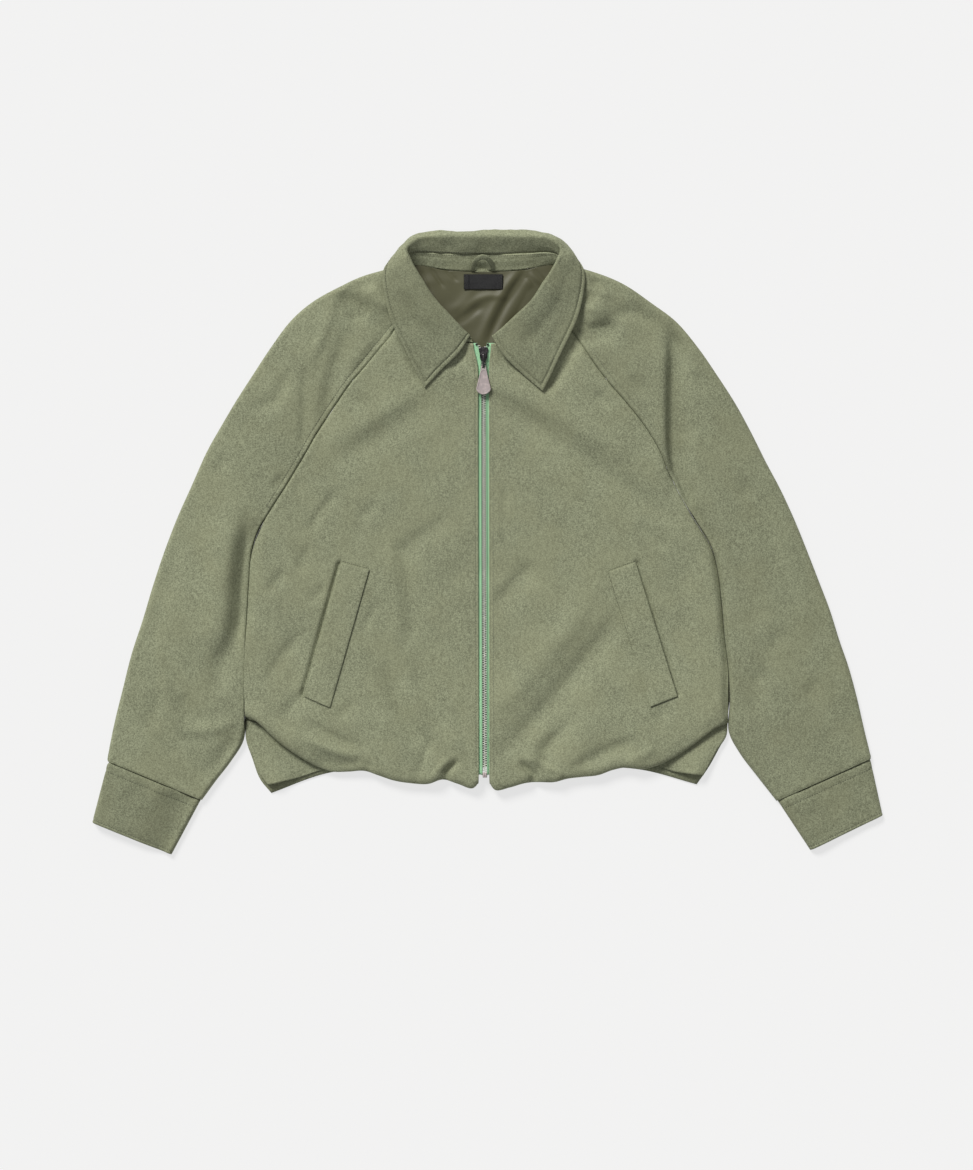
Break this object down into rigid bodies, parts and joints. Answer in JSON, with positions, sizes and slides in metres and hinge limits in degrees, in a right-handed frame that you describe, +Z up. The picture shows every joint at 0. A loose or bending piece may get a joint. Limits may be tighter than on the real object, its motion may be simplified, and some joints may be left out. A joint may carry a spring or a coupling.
{
  "type": "zip blouson jacket with raglan sleeves, laid flat",
  "caption": "Short zip jacket in soft suede cloth with a turn-down collar, raglan sleeves, slanted welt pockets, cuffs and a bubble hem, laid flat.",
  "frame": {"origin": "centre of the bounding box in plan, on the surface that the back panel lies on", "axes": "+X to the right of the front view, +Y towards the collar, +Z up out of the front"},
  "size_m": [0.9099, 0.7173, 0.024],
  "materials": {
    "suede": "sage green brushed suede cloth with a mottled nap",
    "lining": "dark olive satin lining",
    "label": "plain black woven label",
    "tape": "mint green woven zip tape",
    "dark_metal": "dark gunmetal",
    "pale_metal": "dull rosy silver"
  },
  "bodies": {
    "jacket": {"back": "suede", "front_left": "suede", "front_right": "suede", "sleeve_left": "suede", "sleeve_right": "suede", "cuff_left": "suede", "cuff_right": "suede", "hem_left": "suede", "hem_right": "suede", "collar_stand": "suede", "collar_fall": "suede", "welt_left": "suede", "welt_right": "suede", "hanger_loop": "suede", "lining_back": "lining", "neck_label": "label", "zip_tape_left": "tape", "zip_tape_right": "tape", "zip_chain": "dark_metal", "zip_stop_left": "dark_metal", "zip_stop_right": "dark_metal", "zip_bottom_stop": "dark_metal", "zip_slider": "dark_metal"},
    "pull_link": {"pull_link": "dark_metal"},
    "pull_tab": {"pull_tab": "pale_metal"}
  },
  "joints": [
    {"name": "link_swing", "type": "hinge", "parent": "jacket", "child": "pull_link", "pos_m": [-0.00456, 0.2155, 0.01309], "axis": [-1, 0, 0], "range_deg": [0, 110]},
    {"name": "tab_swing", "type": "hinge", "parent": "pull_link", "child": "pull_tab", "pos_m": [-0.00456, 0.2035, 0.01309], "axis": [-1, 0, 0], "range_deg": [0, 60]}
  ]
}
